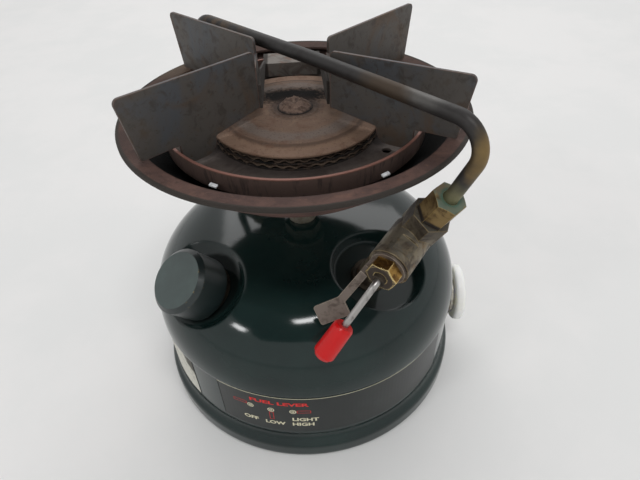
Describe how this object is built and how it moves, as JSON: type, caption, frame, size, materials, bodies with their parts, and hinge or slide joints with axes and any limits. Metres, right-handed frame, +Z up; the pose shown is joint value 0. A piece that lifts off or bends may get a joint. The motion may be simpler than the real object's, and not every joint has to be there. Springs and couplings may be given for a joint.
{
  "type": "camping stove",
  "caption": "Liquid-fuel camping stove: domed fount on a base ring, hand pump, lever valve, looped generator tube and a burner bowl under a folded pot grate.",
  "frame": {"origin": "centre of the base ring on the surface the stove stands on", "axes": "+Z up along the burner axis, -Y to the front with the lever, +X to the pump knob"},
  "size_m": [0.1478, 0.1467, 0.152],
  "materials": {
    "green_enamel": "dark green gloss enamel",
    "cap_enamel": "dark green gloss enamel, chipped at the edge",
    "cap_liner": "moulded",
    "gasket_rubber": "moulded",
    "packing": "graphited cord",
    "fitting_brass": "aged, heat-darkened, green patina",
    "bright_brass": "worn bright at the edges",
    "generator_steel": "heat-greyed, brassy at the bend",
    "bright_steel": "bright drawn",
    "dull_steel": "dull pressed",
    "red_grip": "moulded gloss",
    "knob_plastic": "pale moulded",
    "pump_leather": "oiled",
    "cast_mixer": "cast, heat-stained",
    "rusted_steel": "pressed sheet, rusted brown",
    "burner_cap_steel": "heat-browned",
    "grate_steel": "heat-blued with rust spots"
  },
  "bodies": {
    "stove": {"base_ring": "green_enamel", "fount_bottom": "green_enamel", "fount_dome": "green_enamel", "stem_packing": "packing", "filler_neck": "fitting_brass", "valve_body": "fitting_brass", "valve_bush": "fitting_brass", "generator_nut": "fitting_brass", "gas_tip": "fitting_brass", "burner_stud": "fitting_brass", "check_valve": "fitting_brass", "pump_cap": "fitting_brass", "packing_nut": "bright_brass", "generator_tube": "generator_steel", "cleaning_needle": "bright_steel", "bowl_screws": "bright_steel", "lever_stop": "dull_steel", "pump_cylinder": "dull_steel", "pickup_tube": "dull_steel", "pickup_filter": "dull_steel", "mixing_chamber": "cast_mixer", "burner_bowl": "rusted_steel", "burner_cup": "rusted_steel", "burner_screw": "rusted_steel", "grate_bridge": "rusted_steel", "burner_cap": "burner_cap_steel", "flat_rings": "burner_cap_steel", "wavy_rings": "burner_cap_steel", "grate_left": "grate_steel", "grate_right": "grate_steel"},
    "fuel_lever": {"valve_stem": "bright_steel", "fuel_lever": "bright_steel", "lever_grip": "red_grip"},
    "pump_plunger": {"pump_rod": "bright_steel", "pump_knob": "knob_plastic", "pump_leather": "pump_leather", "pump_leather_nut": "bright_steel"},
    "filler_gasket": {"filler_gasket": "gasket_rubber", "filler_cap_insert": "cap_liner"},
    "filler_cap": {"filler_cap": "cap_enamel"}
  },
  "joints": [
    {"name": "fuel_lever_turn", "type": "hinge", "parent": "stove", "child": "fuel_lever", "pos_m": [0.02666, -0.05815, 0.09947], "axis": [-0.6199, -0.777, -0.1091], "range_deg": [0, 180]},
    {"name": "pump_stroke", "type": "slide", "parent": "stove", "child": "pump_plunger", "axis": [0.9962, -0.0872, 0], "range_m": [0, 0.045]},
    {"name": "filler_cap_lift", "type": "slide", "parent": "stove", "child": "filler_gasket", "axis": [-0.4949, -0.3662, 0.788], "range_m": [0, 0.004]},
    {"name": "filler_cap_turn", "type": "hinge", "parent": "filler_gasket", "child": "filler_cap", "pos_m": [-0.04389, -0.03248, 0.0702], "axis": [-0.4949, -0.3662, 0.788], "range_deg": [0, 720]}
  ],
  "couplings": [
    {"joint": "filler_cap_turn", "follows": "filler_cap_lift", "rad_per_m": 3141.6}
  ]
}
